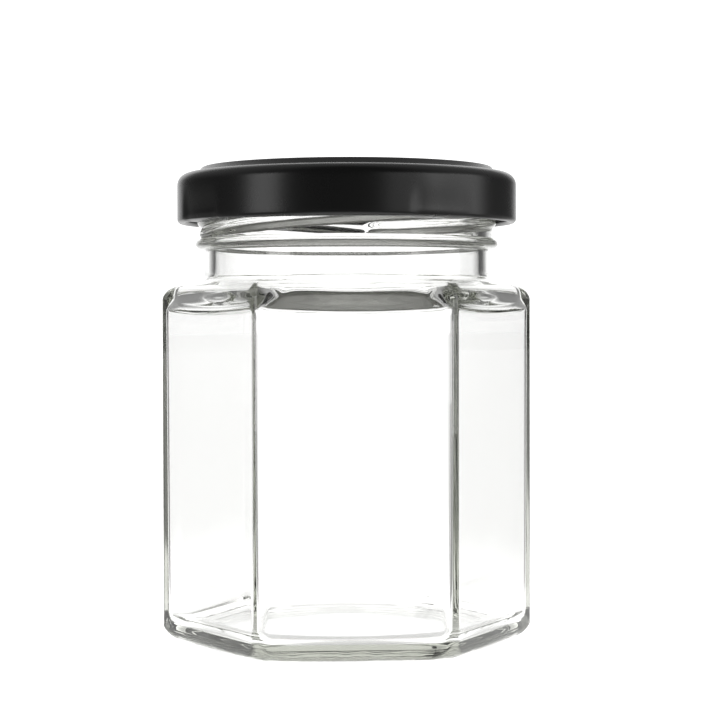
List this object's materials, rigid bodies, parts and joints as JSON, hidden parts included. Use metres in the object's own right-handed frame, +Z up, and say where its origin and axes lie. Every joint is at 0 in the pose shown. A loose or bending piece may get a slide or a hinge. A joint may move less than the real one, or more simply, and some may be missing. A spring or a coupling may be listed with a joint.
{
  "type": "glass jar with lid",
  "caption": "Empty hexagonal jar of clear glass with a round threaded neck, closed by a black metal twist-off lid.",
  "frame": {"origin": "centre of the base, on the plane that the jar stands on", "axes": "+Z up along the jar's axis; +X through one upright edge of the hexagon, -Y out of the flat shown to the front"},
  "size_m": [0.066, 0.0606, 0.0843],
  "materials": {
    "glass": "clear soda-lime glass, fire-polished",
    "lacquer": "black satin lacquer on tinplate"
  },
  "bodies": {
    "root": {"jar": "glass", "lid": "lacquer"}
  },
  "joints": []
}
